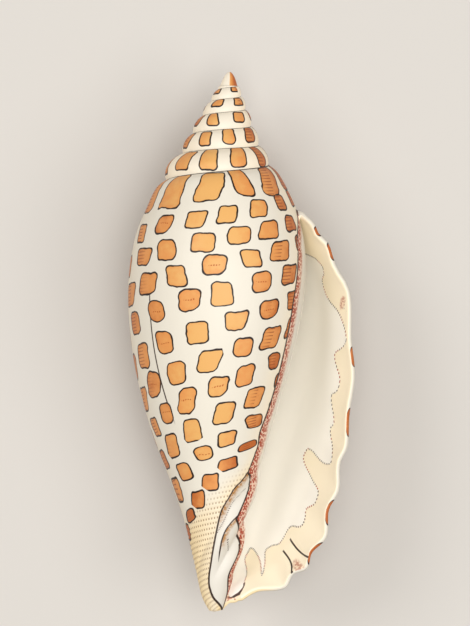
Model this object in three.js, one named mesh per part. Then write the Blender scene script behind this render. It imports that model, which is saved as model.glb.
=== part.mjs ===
// A spotted volute seashell, lying on its back with its mouth upwards.
// Millimetres, +Z up. The coiling axis lies along Y with the apex towards +Y, and the outer lip is at +X.
// The shell is one piece: a wall that winds round the axis and grows as it winds. A place on it is given by
// "back", the turns counted back from the outer lip, and "station", from 0 at the suture to 11 at the canal tip.
import * as THREE from "three";
import { mergeGeometries, mergeVertices } from "three/addons/utils/BufferGeometryUtils.js";

// Driving dimensions
const LENGTH = 100; // apex to canal tip
const WALL = 1.5; // thickness of the wall of the last turn
const LIP_EDGE = 0.9; // thickness of the wall at the lip
const FLARE_TURNS = 0.062; // stretch of the last turn that flares
const LIP_AZIMUTH = THREE.MathUtils.degToRad(6); // the lip's angle past +X, towards +Z
const LIP_SWAY = THREE.MathUtils.degToRad(7); // the lip's middle runs this much further round
const FOLD_HEIGHT = 0.55; // the ridges that wind round the columella
const FOLD_SPACING = 10.1;
const FOLD_CREST = 76.9; // depth of the first ridge where it meets the mouth
const FOLD_RISE = 7.4; // depth that a ridge loses per radian
const REST_FLAT = 0.6; // depth of the flat that the back rests on
const REST_PITCH = THREE.MathUtils.degToRad(-2.5); // the spire's end dips, and the lip's side rises, to rest in balance
const REST_ROLL = THREE.MathUtils.degToRad(-3);
const SPIRE_LEAN = 0.8; // sideways bow of the spire
const SPIRE_LEAN_DEPTH = 26;
const SPIRE_BULGE = 0.28; // extra roundness of the spire's turns

// Outlines of the last turn at three places, as [depth below the apex, radius] in hundredths of LENGTH
const MOUTH_OUTLINE = [
  [17.0, 8.3], [18.0, 9.6], [19.8, 10.8], [25.3, 13.2], [33.0, 15.0], [42.8, 14.9],
  [52.8, 13.1], [61.7, 10.9], [68.2, 9.1], [80.7, 6.0], [93.2, 3.5], [99.6, 1.6],
];
const SIDE_OUTLINE = [
  [20.6, 10.9], [22.0, 12.8], [25.3, 14.5], [32.0, 16.85], [42.2, 17.7], [54.8, 16.2],
  [67.0, 12.8], [77.0, 8.6], [83.7, 6.0], [90.7, 4.0], [97.0, 2.4], [99.8, 0.9],
];
const LIP_OUTLINE = [
  [25.3, 13.2], [27.2, 14.6], [32.0, 17.1], [40.6, 20.8], [52.8, 22.1], [68.3, 21.7],
  [80.7, 18.8], [89.4, 15.3], [93.3, 11.1], [96.2, 5.1], [98.1, 3.0], [99.6, 1.6],
];
// The lip's edge turns outwards in uneven ripples, as [station, how far it reaches] at the crest and foot of each
const LIP_REACH = [
  [0, 0], [0.7, 0.8], [1.4, 1.5], [1.65, 1.4], [2.05, 2.35], [2.55, 1.85], [3.0, 2.8], [3.7, 2.2],
  [4.2, 2.8], [4.65, 2.1], [5.0, 2.45], [5.22, 1.7], [5.6, 2.8], [5.9, 2.15], [6.35, 3.5], [6.75, 2.15],
  [7.05, 2.85], [7.4, 1.6], [7.85, 2.75], [8.6, 1.1], [9.1, 1.4], [9.6, 0.9], [10.2, 0], [11, 0],
];
// The suture on the spire, one point a turn back from the last turn, up to the ring under the apex
const SPIRE_SUTURE = [[17.0, 8.3], [13.5, 6.5], [10.0, 4.9], [6.9, 3.5], [4.5, 2.4], [2.6, 1.6]];

// Stations with a part in the build
const CANAL_TIP = 11;
const PREVIOUS_SUTURE = 3; // where the last turn's lip meets the turn before it
const INNER_SUTURE = 3.3; // the same line on the inside of the wall
const INNER_TIP = 10.5; // where the mouth ends on the columella

// Resolution
const LIP_COLUMNS = 6; // columns of a turn that are packed into the stretch by the lip
const PLAIN_COLUMNS = 34;
const SPIRE_TURNS = SPIRE_SUTURE.length; // turns back from the lip to the start of the suture
const SPIRE_ROWS = 5;
const BODY_ROWS = 36;
const EDGE_ROWS = 2;
const HOLLOW_TURNS = 0.8; // the hollow reaches this far back from the lip
const HOLLOW_COLUMNS = 20;
const DOME_ROWS = 4;
const WELD_GRID = 1.3e-4; // points that meet are rounded to this

const { clamp, lerp, smoothstep } = THREE.MathUtils;
const scaled = (outline) =>
  new THREE.SplineCurve(outline.map(([depth, radius]) => new THREE.Vector2(depth, radius).multiplyScalar(LENGTH / 100)));
const mouthCurve = scaled(MOUTH_OUTLINE);
const sideCurve = scaled(SIDE_OUTLINE);
const lipCurve = scaled(LIP_OUTLINE);
const spireCurve = scaled(SPIRE_SUTURE);

// A section point is a Vector2 of depth and radius.
const onOutline = (curve, station) => curve.getPoint(clamp(station / CANAL_TIP, 0, 1));

// Growth between the three outlines: a smooth curve through the logarithms, so that the wall is a spiral.
function grown(back, station) {
  const age = 1 - back;
  const [mouth, side, lip] = [mouthCurve, sideCurve, lipCurve].map((curve) => onOutline(curve, station));
  const weights = [2 * (age - 0.5) * (age - 1), 4 * age * (1 - age), 2 * age * (age - 0.5)];
  const mix = (a, b, c) => Math.exp(weights[0] * Math.log(a) + weights[1] * Math.log(b) + weights[2] * Math.log(c));
  return new THREE.Vector2(mix(mouth.x, side.x, lip.x), mix(mouth.y, side.y, lip.y));
}

// Inward normal of a section, from the slope of its profile.
function inward(profile, station) {
  const step = 0.02;
  const along = profile(Math.min(station + step, CANAL_TIP)).sub(profile(Math.max(station - step, 0)));
  return new THREE.Vector2(along.y, -along.x).normalize();
}

// The suture, where each turn starts on the one before it.
function suture(back) {
  if (back <= 1) return grown(back, 0);
  return spireCurve.getPoint(clamp((back - 1) / (SPIRE_TURNS - 1), 0, 1));
}

// The lip turns outwards over its last stretch.
function lipReach(back, station) {
  const ramp = clamp(1 - back / FLARE_TURNS, 0, 1) ** 2;
  const next = Math.max(1, LIP_REACH.findIndex(([at]) => at >= station));
  const [[from, low], [to, high]] = [LIP_REACH[next - 1], LIP_REACH[next]];
  return ramp * lerp(low, high, smoothstep(station, from, to));
}

// Ridges on the columella, wound round it from the mouth. "round" is the angle past +X, towards +Z.
function foldHeight(round, depth) {
  const ridge = 2 * Math.abs(Math.cos((Math.PI * (depth - FOLD_CREST - FOLD_RISE * round)) / FOLD_SPACING)) - 1;
  const reach = depth - (FOLD_CREST - FOLD_SPACING / 2 + FOLD_RISE * round);
  const within = smoothstep(reach, -1, 2.5) * (1 - smoothstep(depth, 88, 96)) * smoothstep(round, -1.6, -0.9);
  return FOLD_HEIGHT * ridge * within;
}

// The outside of the last turn.
function outside(back, station) {
  const point = grown(back, station);
  const reach = lipReach(back, station);
  if (reach > 0) point.addScaledVector(inward((s) => grown(back, s), station), -reach);
  if (back > 0.5) point.y += foldHeight(2 * Math.PI * (1 - back) + LIP_AZIMUTH, point.x);
  return point;
}

// The outside of the spire: each turn has the shape that the last one shows above its lip.
function spire(back, station) {
  const [first, last] = [mouthCurve.getPoint(0), onOutline(mouthCurve, PREVIOUS_SUTURE)];
  const here = onOutline(mouthCurve, station);
  const [upper, lower] = [suture(back), suture(back - 1)];
  const down = (here.x - first.x) / (last.x - first.x);
  const bulge = SPIRE_BULGE * Math.sin(Math.PI * down) * smoothstep(back, 1, 1.5);
  const out = (here.y - first.y) / (last.y - first.y) + bulge;
  return new THREE.Vector2(lerp(upper.x, lower.x, down), lerp(upper.y, lower.y, out));
}

// The columella's side of the hollow: the mouth's outline, drawn in and shortened as the hollow goes back.
const hollowTop = outside(1, INNER_SUTURE).sub(outside(1, PREVIOUS_SUTURE));
const hollowEnd = outside(1, INNER_TIP);
const HOLLOW_RISE = 30; // depth that the hollow's end loses in a turn
const HOLLOW_START = 1.9; // station of the wall where the hollow starts, deep inside
function columella(back, station) {
  if (back === 0) return outside(1, station);
  const top = suture(back).add(hollowTop);
  const start = onOutline(mouthCurve, INNER_SUTURE);
  const here = onOutline(mouthCurve, station);
  const end = onOutline(mouthCurve, INNER_TIP);
  const depth = lerp(top.x, hollowEnd.x - HOLLOW_RISE * back, (here.x - start.x) / (end.x - start.x));
  const radius = (here.y * top.y) / start.y;
  return new THREE.Vector2(depth, radius + foldHeight(LIP_AZIMUTH - 2 * Math.PI * back, depth));
}

// The outer wall's side of the hollow: the outside moved in by the wall, and closed on the columella at both ends.
function lining(back, station) {
  const highest = HOLLOW_START * (1 - Math.exp(-back / 0.1));
  const deepest = lerp(CANAL_TIP, 7, 1 - Math.exp(-back / 0.3));
  const reached = lerp(highest, deepest, station / CANAL_TIP);
  const thickness = lerp(LIP_EDGE, WALL, smoothstep(back, 0, 2 * FLARE_TURNS));
  const wall = outside(back, reached).addScaledVector(inward((s) => outside(back, s), reached), thickness);
  const fromTop = smoothstep(station, 0, 0.9);
  const fromTip = smoothstep(station, 9.6, CANAL_TIP);
  const top = suture(back).add(hollowTop);
  return top.lerp(wall, fromTop).lerp(columella(back, INNER_TIP), fromTip);
}

// Places a section point in the shell's own frame, before it is laid on the floor.
const sway = (station) => LIP_SWAY * Math.sin(Math.PI * clamp((station - 3.5) / 6.5, 0, 1)) ** 2;
const lean = (depth) => SPIRE_LEAN * Math.sin(Math.PI * clamp(depth / SPIRE_LEAN_DEPTH, 0, 1)) ** 2;
function placed(back, station, section, swayShare = 1) {
  const angle = LIP_AZIMUTH + swayShare * sway(station) - 2 * Math.PI * (back % 1);
  const { x: depth, y: radius } = section;
  return new THREE.Vector3(radius * Math.cos(angle) - lean(depth), -depth, radius * Math.sin(angle));
}

// Points that meet are rounded alike, so that they weld.
const onGrid = (point) => point.divideScalar(WELD_GRID).round().multiplyScalar(WELD_GRID);

// A grid of columns and rows, each corner set by a function of the two.
function sheet(columns, rows, corner) {
  const grid = new THREE.PlaneGeometry(1, 1, columns, rows);
  const position = grid.getAttribute("position");
  for (let row = 0; row <= rows; row++) {
    for (let column = 0; column <= columns; column++) {
      position.setXYZ(row * (columns + 1) + column, ...onGrid(corner(column, row)));
    }
  }
  return grid;
}

const steps = (from, to, count) => Array.from({ length: count }, (_, i) => lerp(from, to, i / count));

// Columns of a turn, back from the lip; every turn has them at the same angles
const turnColumns = [
  ...steps(0, 1.2 * FLARE_TURNS, LIP_COLUMNS),
  ...steps(1.2 * FLARE_TURNS, 1, PLAIN_COLUMNS),
];
const TURN_COLUMNS = turnColumns.length;
const backAt = (column) => Math.floor(column / TURN_COLUMNS) + turnColumns[column % TURN_COLUMNS];

// Rows of the last turn, from the suture to the canal tip
const spireRows = [...steps(0, PREVIOUS_SUTURE, SPIRE_ROWS), PREVIOUS_SUTURE];
const bodyRows = [
  ...steps(0, PREVIOUS_SUTURE, SPIRE_ROWS),
  ...steps(PREVIOUS_SUTURE, INNER_SUTURE, EDGE_ROWS),
  ...steps(INNER_SUTURE, INNER_TIP, BODY_ROWS),
  ...steps(INNER_TIP, CANAL_TIP, EDGE_ROWS),
  CANAL_TIP,
];
const mouthRows = bodyRows.filter((station) => station >= INNER_SUTURE && station <= INNER_TIP);
const lastRow = bodyRows.length - 1;

function lastTurn() {
  return sheet(TURN_COLUMNS, lastRow, (column, row) => {
    const back = backAt(column);
    return placed(back, bodyRows[row], outside(back, bodyRows[row]));
  });
}

function spireTurns() {
  const columns = TURN_COLUMNS * SPIRE_TURNS;
  return sheet(columns, SPIRE_ROWS, (column, row) => {
    const back = 1 + backAt(column);
    return placed(back, spireRows[row], spire(back, spireRows[row]));
  });
}

function apexDome() {
  const ring = suture(SPIRE_TURNS);
  return sheet(TURN_COLUMNS, DOME_ROWS, (column, row) => {
    const out = row / DOME_ROWS;
    return placed(backAt(column), 0, new THREE.Vector2(ring.x * out ** 2, ring.y * out));
  });
}

function canalTip() {
  return sheet(TURN_COLUMNS, 1, (column, row) => {
    const back = backAt(column);
    const edge = outside(back, CANAL_TIP);
    return placed(back, CANAL_TIP, row === 0 ? edge : new THREE.Vector2(LENGTH, 0));
  });
}

// The lip's edge, from its inner to its outer side. Its two ends lie on the turn before it.
function lipEdge() {
  return sheet(EDGE_ROWS, lastRow, (column, row) => {
    const out = column / EDGE_ROWS;
    if (row === 0) {
      const station = lerp(INNER_SUTURE, PREVIOUS_SUTURE, out);
      return placed(1, station, outside(1, station));
    }
    if (row === lastRow) {
      const station = lerp(INNER_TIP, CANAL_TIP, out);
      return placed(1, station, outside(1, station));
    }
    const station = bodyRows[row];
    const point = lining(0, station).lerp(outside(0, station), out);
    return placed(-0.004 * Math.sin(Math.PI * out), station, point);
  });
}

// The hollow's columns are closer together near the lip, and lose the lip's sway as they go back.
const hollowSway = (back) => 1 - smoothstep(back, 0, HOLLOW_TURNS);
function hollowLining() {
  return sheet(HOLLOW_COLUMNS, lastRow, (column, row) => {
    const back = HOLLOW_TURNS * (1 - column / HOLLOW_COLUMNS) ** 1.3;
    return placed(back, bodyRows[row], lining(back, bodyRows[row]), hollowSway(back));
  });
}

function hollowColumella() {
  return sheet(HOLLOW_COLUMNS, mouthRows.length - 1, (column, row) => {
    const back = HOLLOW_TURNS * (column / HOLLOW_COLUMNS) ** 1.3;
    return placed(back, mouthRows[row], columella(back, mouthRows[row]), hollowSway(back));
  });
}

function hollowBack() {
  const outer = bodyRows.map((station) => lining(HOLLOW_TURNS, station));
  const inner = mouthRows.slice(1, -1).map((station) => columella(HOLLOW_TURNS, station));
  const ring = [...inner, ...outer.reverse()];
  const faces = THREE.ShapeUtils.triangulateShape(ring.map(({ x, y }) => new THREE.Vector2(y, -x)), []);
  const points = ring.map((section) => onGrid(placed(HOLLOW_TURNS, 0, section)));
  return new THREE.BufferGeometry().setFromPoints(points).setIndex(faces.flat());
}

// Merges the sheets into one closed surface, with no triangle left that has lost its area.
function closed(sheets) {
  for (const part of sheets) {
    part.deleteAttribute("normal");
    part.deleteAttribute("uv");
  }
  const merged = mergeVertices(mergeGeometries(sheets), WELD_GRID / 2);
  const corners = merged.index.array;
  const kept = [];
  for (let i = 0; i < corners.length; i += 3) {
    const [a, b, c] = corners.slice(i, i + 3);
    if (a !== b && b !== c && c !== a) kept.push(a, b, c);
  }
  return merged.setIndex(kept);
}

// Lays the shell on the floor: what is below the rest flat is brought up to it, and the origin goes under the middle.
function laid(geometry) {
  geometry.rotateX(REST_PITCH).rotateY(REST_ROLL).computeBoundingBox();
  const floor = geometry.boundingBox.min.z + REST_FLAT;
  const position = geometry.getAttribute("position");
  for (let i = 0; i < position.count; i++) position.setZ(i, Math.max(position.getZ(i), floor));
  geometry.computeBoundingBox();
  const middle = geometry.boundingBox.getCenter(new THREE.Vector3());
  return geometry.translate(-middle.x, -middle.y, -floor);
}

const shellGeometry = laid(closed([
  lastTurn(), spireTurns(), apexDome(), canalTip(), lipEdge(), hollowLining(), hollowColumella(), hollowBack(),
]));

const shell = new THREE.Mesh(
  shellGeometry,
  new THREE.MeshStandardMaterial({ name: "shell", color: 0xf1e6d0, roughness: 0.35, metalness: 0 }),
);
shell.name = "shell";

const part = new THREE.Group();
part.add(shell);

export default part;
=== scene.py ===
from math import cos, pi, radians, sin
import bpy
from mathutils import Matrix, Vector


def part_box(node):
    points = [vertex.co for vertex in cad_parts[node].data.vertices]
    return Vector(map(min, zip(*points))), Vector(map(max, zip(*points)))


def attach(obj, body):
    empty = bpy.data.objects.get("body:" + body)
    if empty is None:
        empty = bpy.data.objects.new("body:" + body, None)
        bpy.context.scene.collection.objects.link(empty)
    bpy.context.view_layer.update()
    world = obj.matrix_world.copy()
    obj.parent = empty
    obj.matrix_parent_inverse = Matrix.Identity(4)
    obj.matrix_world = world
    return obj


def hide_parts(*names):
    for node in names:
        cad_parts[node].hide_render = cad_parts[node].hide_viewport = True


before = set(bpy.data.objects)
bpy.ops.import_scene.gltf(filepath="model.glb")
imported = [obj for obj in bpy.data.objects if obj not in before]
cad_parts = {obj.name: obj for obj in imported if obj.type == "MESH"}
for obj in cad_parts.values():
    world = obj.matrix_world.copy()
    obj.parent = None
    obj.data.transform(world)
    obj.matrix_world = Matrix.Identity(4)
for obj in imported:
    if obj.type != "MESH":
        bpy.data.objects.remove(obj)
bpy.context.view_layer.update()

from types import SimpleNamespace

import bmesh
import bpy
import numpy as np
from mathutils import Color, Matrix, Vector

MM = 0.001

# The shell is a wall that winds round an axis and grows as it winds. A place on it is given by "back",
# the turns counted back from the outer lip, and "station", from 0 at the suture to 11 at the canal tip.
# A section point is (depth below the apex, radius), in millimetres.

# Sizes of the shell, in millimetres and turns
LENGTH = 100.0
WALL = 1.5
LIP_EDGE = 0.9
LIP_NOSE = 0.003  # how far the middle of the lip's edge stands forward
FLARE_TURNS = 0.062
LIP_AZIMUTH = radians(6)
LIP_SWAY = radians(7)
SWAY_START = 3.5  # stations between which the lip sways forward
SWAY_END = 10.0
FOLD_HEIGHT = 0.55
FOLD_SPACING = 10.1
FOLD_CREST = 76.9  # depth of the first fold at +X
FOLD_RISE = 7.4  # depth that a fold changes by in a radian
FOLD_START = (-1, 2.5)  # the folds grow to full height over these depths past their upper edge
FOLD_END = (88, 96)  # and die away over these depths
FOLD_TURNED = (-1.6, -0.9)  # and begin at these angles
REST_FLAT = 0.6
REST_PITCH = radians(-2.5)
REST_ROLL = radians(-3)
SPIRE_LEAN = 0.8
SPIRE_LEAN_DEPTH = 26
SPIRE_BULGE = 0.28
HOLLOW_TURNS = 0.8
HOLLOW_RISE = 30
HOLLOW_START = 1.9  # stations that the hollow narrows to, and turns in which it does so
HOLLOW_START_TURNS = 0.1
HOLLOW_END = 7
HOLLOW_END_TURNS = 0.3
LINING_TOP = 0.9  # stations where the lining leaves the columella and comes back to it
LINING_BOTTOM = 9.6

# Outlines of the last turn at the mouth, opposite the lip and at the lip, one point a station
MOUTH_OUTLINE = np.array([
    (17.0, 8.3), (18.0, 9.6), (19.8, 10.8), (25.3, 13.2), (33.0, 15.0), (42.8, 14.9),
    (52.8, 13.1), (61.7, 10.9), (68.2, 9.1), (80.7, 6.0), (93.2, 3.5), (99.6, 1.6),
])
SIDE_OUTLINE = np.array([
    (20.6, 10.9), (22.0, 12.8), (25.3, 14.5), (32.0, 16.85), (42.2, 17.7), (54.8, 16.2),
    (67.0, 12.8), (77.0, 8.6), (83.7, 6.0), (90.7, 4.0), (97.0, 2.4), (99.8, 0.9),
])
LIP_OUTLINE = np.array([
    (25.3, 13.2), (27.2, 14.6), (32.0, 17.1), (40.6, 20.8), (52.8, 22.1), (68.3, 21.7),
    (80.7, 18.8), (89.4, 15.3), (93.3, 11.1), (96.2, 5.1), (98.1, 3.0), (99.6, 1.6),
])
# The lip's edge turns outwards in uneven ripples: (station, how far it reaches) at the crest and foot
# of each
LIP_REACH = np.array([
    (0, 0), (0.7, 0.8), (1.4, 1.5), (1.65, 1.4), (2.05, 2.35), (2.55, 1.85), (3.0, 2.8), (3.7, 2.2),
    (4.2, 2.8), (4.65, 2.1), (5.0, 2.45), (5.22, 1.7), (5.6, 2.8), (5.9, 2.15), (6.35, 3.5), (6.75, 2.15),
    (7.05, 2.85), (7.4, 1.6), (7.85, 2.75), (8.6, 1.1), (9.1, 1.4), (9.6, 0.9), (10.2, 0), (11, 0),
])
# The suture on the spire, one point a turn back from the last turn, up to the ring under the apex
SPIRE_SUTURE = np.array([(17.0, 8.3), (13.5, 6.5), (10.0, 4.9), (6.9, 3.5), (4.5, 2.4), (2.6, 1.6)])
SPIRE_TURNS = len(SPIRE_SUTURE)

CANAL_TIP = 11
PREVIOUS_SUTURE = 3
INNER_SUTURE = 3.3
INNER_TIP = 10.5

# Fine relief
# The two creases inside the lip's lower end: the station at the edge, and how it changes with turns and
# with turns squared
CREASES = ((6.83, 4.2, -60.0), (7.4, -4.4, 36.0))
CREASE_DEPTH = 0.3
CREASE_TURNS = 0.055
CREASE_FADE = 0.6  # the share of its turns after which a crease dies away
CREASE_STATIONS = 0.06
CORD_PITCH = 0.9  # fine cords round the neck
CORD_HEIGHT = 0.07
CORD_SLANT = 1.2  # depth that a cord changes by in a radian
CORD_STATIONS = (8.1, 8.5)
CORD_END = (96, 99)
CORD_BACKS = (0.12, 0.3)
CORD_GAP = 0.6  # bare strip beside the glazed columella
GLAZE_TURNED = 2.9  # the glaze's edge slants as far round as this

# The picture that the marks and the camera follow
PICTURE_PX = (470, 626)
SHELL_PX = 540  # apex to canal tip
CAMERA_DISTANCE = 1.1
AXIS_TILT = radians(1.66)  # the apex leans to the right
CENTRE = (2.3, -44.6, 0.0)  # the picture's middle, in the shell's own frame

# Lines that show on the shell, given as pixels of the picture
MOUTH_LINE_PX = (
    (296, 208), (297, 240), (298, 262), (296, 285), (292, 310), (281, 365), (270, 405), (260, 432),
    (258, 445), (252, 462), (248, 472), (250, 476), (249, 486), (246, 497), (238, 515), (237, 521),
    (239, 540), (238, 553), (230, 571), (228, 580), (227, 594), (226, 611),
)
CALLUS_EDGE_PX = (
    (249, 471), (242, 480), (235, 488), (228, 500), (222, 510), (217, 527), (213, 549), (211, 564),
    (209, 579), (210, 589), (215, 600), (226, 611),
)
FOLD_VALLEY_PX = ((238, 515), (232, 522), (226, 530), (222, 540), (220, 550), (218, 562))
FOLD_LINES_PX = (
    ((246, 488), (237, 497), (231, 505), (224, 521), (217, 533)),
    ((228, 538), (228, 544), (228, 550)),
)
# Where the lip's cream gives way to white inside the mouth, from the upper corner to the canal
LIP_BORDER_PX = (
    (303, 253), (313, 257), (320, 263), (324, 271), (322, 281), (327, 297), (339, 313), (346, 336),
    (344, 346), (335, 353), (336, 364), (340, 379), (337, 391), (331, 397), (334, 421), (330, 431),
    (332, 459), (328, 464), (321, 461), (310, 449), (305, 453), (304, 462), (313, 480), (318, 491),
    (315, 503), (306, 509), (305, 518), (300, 527), (290, 527), (280, 543), (271, 546), (265, 553),
    (262, 575), (258, 556), (252, 548), (248, 552), (245, 562), (245, 580), (244, 586), (240, 592),
    (235, 596), (229, 598),
)
LIP_DIMPLE_PX = ((344, 293), (341, 297), (340, 302), (342, 307), (348, 311))
FRONT_BACKS = (0.68, 1)  # where the lines are looked for on the outside, and inside the lip
LIP_BACKS = (0, 0.16)
FAR = 6.0  # distances from a line are cut off here
NEVER = 9  # more turns than the shell has
RIM_TURNS = 0.0005  # on the maps, half the width of the lip's edge
TYPICAL_GIRTH = 110.0
TYPICAL_PITCH = 9.0

# The tall spots under the suture
COLLAR_HEIGHT = 6.3  # at the place where the suture has COLLAR_RADIUS
COLLAR_RADIUS = 9.3
COLLAR_SHARE = 0.95  # of a turn of the spire
COLLAR_GAP = 0.1

# Resolution
LIP_COLUMNS = 30
PLAIN_COLUMNS = 130
TURN_COLUMNS = LIP_COLUMNS + PLAIN_COLUMNS
SPIRE_ROWS = 18
HOLLOW_COLUMNS = 70
EDGE_ROWS = 4
BODY_ROWS = 72
NECK_ROWS = 100
NECK_START = 8
DOME_ROWS = 12
HOLLOW_CROWDING = 1.6  # the hollow's columns stand closer together by the lip
SEARCH_COLUMNS = 321
SEARCH_ROWS = 551
SLOPE_STEP = 0.02
LEAST_PITCH = 0.3
SUTURE_PIECES = 14
MERGE_DISTANCE = 0.002
SLIVER = 0.0005


def smoothstep(value, low, high):
    share = np.clip((value - low) / (high - low), 0, 1)
    return share * share * (3 - 2 * share)


def lerp(a, b, share):
    return a + (b - a) * share


def along(outline, station):
    """A smooth curve through an outline's points, one a station."""
    last = len(outline) - 1
    station = np.clip(station, 0, last)
    first = np.minimum(np.floor(station).astype(int), last)
    share = (station - first)[..., None]
    before, start, end, after = (outline[np.clip(first + step, 0, last)] for step in (-1, 0, 1, 2))
    leave, arrive = (end - before) / 2, (after - start) / 2
    return (
        start + leave * share + (3 * (end - start) - 2 * leave - arrive) * share**2
        + (2 * (start - end) + leave + arrive) * share**3
    )


def grown(back, station):
    """Growth between the outlines: a smooth curve through their logarithms, so that the wall is a spiral."""
    age = (1 - back)[..., None]
    outlines = (MOUTH_OUTLINE, SIDE_OUTLINE, LIP_OUTLINE)
    mouth, side, lip = (np.log(along(outline, station)) for outline in outlines)
    return np.exp(
        2 * (age - 0.5) * (age - 1) * mouth + 4 * age * (1 - age) * side + 2 * age * (age - 0.5) * lip
    )


def inward(profile, station):
    """Inward normal of a section, from the slope of its profile."""
    ahead, behind = np.minimum(station + SLOPE_STEP, CANAL_TIP), np.maximum(station - SLOPE_STEP, 0)
    slope = profile(ahead) - profile(behind)
    normal = np.stack([slope[..., 1], -slope[..., 0]], axis=-1)
    return normal / np.linalg.norm(normal, axis=-1, keepdims=True)


def suture(back):
    on_spire = along(SPIRE_SUTURE, np.clip(back - 1, 0, SPIRE_TURNS - 1))
    on_last_turn = grown(np.minimum(back, 1), np.zeros_like(back))
    return np.where((back <= 1)[..., None], on_last_turn, on_spire)


def lip_reach(back, station):
    """How far the lip turns outwards, in ripples at its edge."""
    ramp = np.clip(1 - back / FLARE_TURNS, 0, 1) ** 2
    after = np.clip(np.searchsorted(LIP_REACH[:, 0], station), 1, len(LIP_REACH) - 1)
    start, end = LIP_REACH[after - 1], LIP_REACH[after]
    return ramp * lerp(start[..., 1], end[..., 1], smoothstep(station, start[..., 0], end[..., 0]))


def crease_depth(back, station):
    away = [station - (at + slope * back + curve * back**2) for at, slope, curve in CREASES]
    within = 1 - smoothstep(back, CREASE_FADE * CREASE_TURNS, CREASE_TURNS)
    return CREASE_DEPTH * sum(np.exp(-((step / CREASE_STATIONS) ** 2)) for step in away) * within


def fold_height(turned, depth):
    """Ridges that wind round the columella. "turned" is the angle past +X, towards +Z."""
    ridge = 2 * abs(np.cos(pi * (depth - FOLD_CREST - FOLD_RISE * turned) / FOLD_SPACING)) - 1
    reach = depth - (FOLD_CREST - FOLD_SPACING / 2 + FOLD_RISE * turned)
    within = smoothstep(reach, *FOLD_START) * (1 - smoothstep(depth, *FOLD_END))
    return FOLD_HEIGHT * ridge * (within * smoothstep(turned, *FOLD_TURNED))


def cord_height(back, station, turned, depth):
    """Fine cords round the neck, up to the edge of the glazed columella."""
    glaze_edge = FOLD_CREST - FOLD_SPACING / 2 + FOLD_RISE * np.minimum(turned, GLAZE_TURNED)
    within = (depth < glaze_edge - CORD_GAP) * smoothstep(station, *CORD_STATIONS)
    within = within * (1 - smoothstep(depth, *CORD_END)) * smoothstep(back, *CORD_BACKS)
    return CORD_HEIGHT * np.cos(2 * pi * (depth - CORD_SLANT * turned) / CORD_PITCH) * within


def outside(back, station):
    point = grown(back, station)
    point = point - inward(lambda s: grown(back, s), station) * lip_reach(back, station)[..., None]
    turned = 2 * pi * (1 - back) + LIP_AZIMUTH
    depth = point[..., 0]
    relief = fold_height(turned, depth) * (back > 0.5) + cord_height(back, station, turned, depth)
    return point + relief[..., None] * (0, 1)


def spire(back, station):
    """Each turn of the spire has the shape that the last one shows above its lip, a little rounder."""
    first, last = MOUTH_OUTLINE[0], MOUTH_OUTLINE[PREVIOUS_SUTURE]
    share = (along(MOUTH_OUTLINE, station) - first) / (last - first)
    bulge = SPIRE_BULGE * np.sin(pi * share[..., 0]) * smoothstep(back, 1, 1.5)
    return lerp(suture(back), suture(back - 1), share + bulge[..., None] * (0, 1))


def columella(back, station):
    """The inner side of the hollow: the mouth's outline, drawn in and shortened as the hollow goes back."""
    edge = np.ones_like(back)
    at_lip = outside(edge, station)
    top = suture(back) + outside(edge, edge * INNER_SUTURE) - outside(edge, edge * PREVIOUS_SUTURE)
    start, here, end = (along(MOUTH_OUTLINE, edge * s) for s in (INNER_SUTURE, station, INNER_TIP))
    down = (here[..., 0] - start[..., 0]) / (end[..., 0] - start[..., 0])
    depth = lerp(top[..., 0], outside(edge, edge * INNER_TIP)[..., 0] - HOLLOW_RISE * back, down)
    radius = here[..., 1] * top[..., 1] / start[..., 1]
    deeper = np.stack([depth, radius + fold_height(LIP_AZIMUTH - 2 * pi * back, depth)], axis=-1)
    return np.where((back <= 0)[..., None], at_lip, deeper)


def lining(back, station):
    """The outer side of the hollow: the outside moved in by the wall, and closed on the columella."""
    edge = np.ones_like(back)
    highest = HOLLOW_START * (1 - np.exp(-back / HOLLOW_START_TURNS))
    deepest = lerp(CANAL_TIP, HOLLOW_END, 1 - np.exp(-back / HOLLOW_END_TURNS))
    reached = lerp(highest, deepest, station / CANAL_TIP)
    thickness = lerp(LIP_EDGE, WALL, smoothstep(back, 0, 2 * FLARE_TURNS)) - crease_depth(back, station)
    wall = outside(back, reached) + inward(lambda s: outside(back, s), reached) * thickness[..., None]
    top = suture(back) + outside(edge, edge * INNER_SUTURE) - outside(edge, edge * PREVIOUS_SUTURE)
    from_top = lerp(top, wall, smoothstep(station, 0, LINING_TOP)[..., None])
    bottom = columella(back, edge * INNER_TIP)
    return lerp(from_top, bottom, smoothstep(station, LINING_BOTTOM, CANAL_TIP)[..., None])


def placed(back, station, section, sway_share=1.0):
    """Points in the shell's own frame: apex towards +Y, lip towards +X, mouth towards +Z."""
    sway = LIP_SWAY * np.sin(pi * np.clip((station - SWAY_START) / (SWAY_END - SWAY_START), 0, 1)) ** 2
    angle = LIP_AZIMUTH + sway_share * sway - 2 * pi * (back % 1)
    depth, radius = section[..., 0], section[..., 1]
    lean = SPIRE_LEAN * np.sin(pi * np.clip(depth / SPIRE_LEAN_DEPTH, 0, 1)) ** 2
    return np.stack([radius * np.cos(angle) - lean, -depth, radius * np.sin(angle)], axis=-1)


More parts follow.
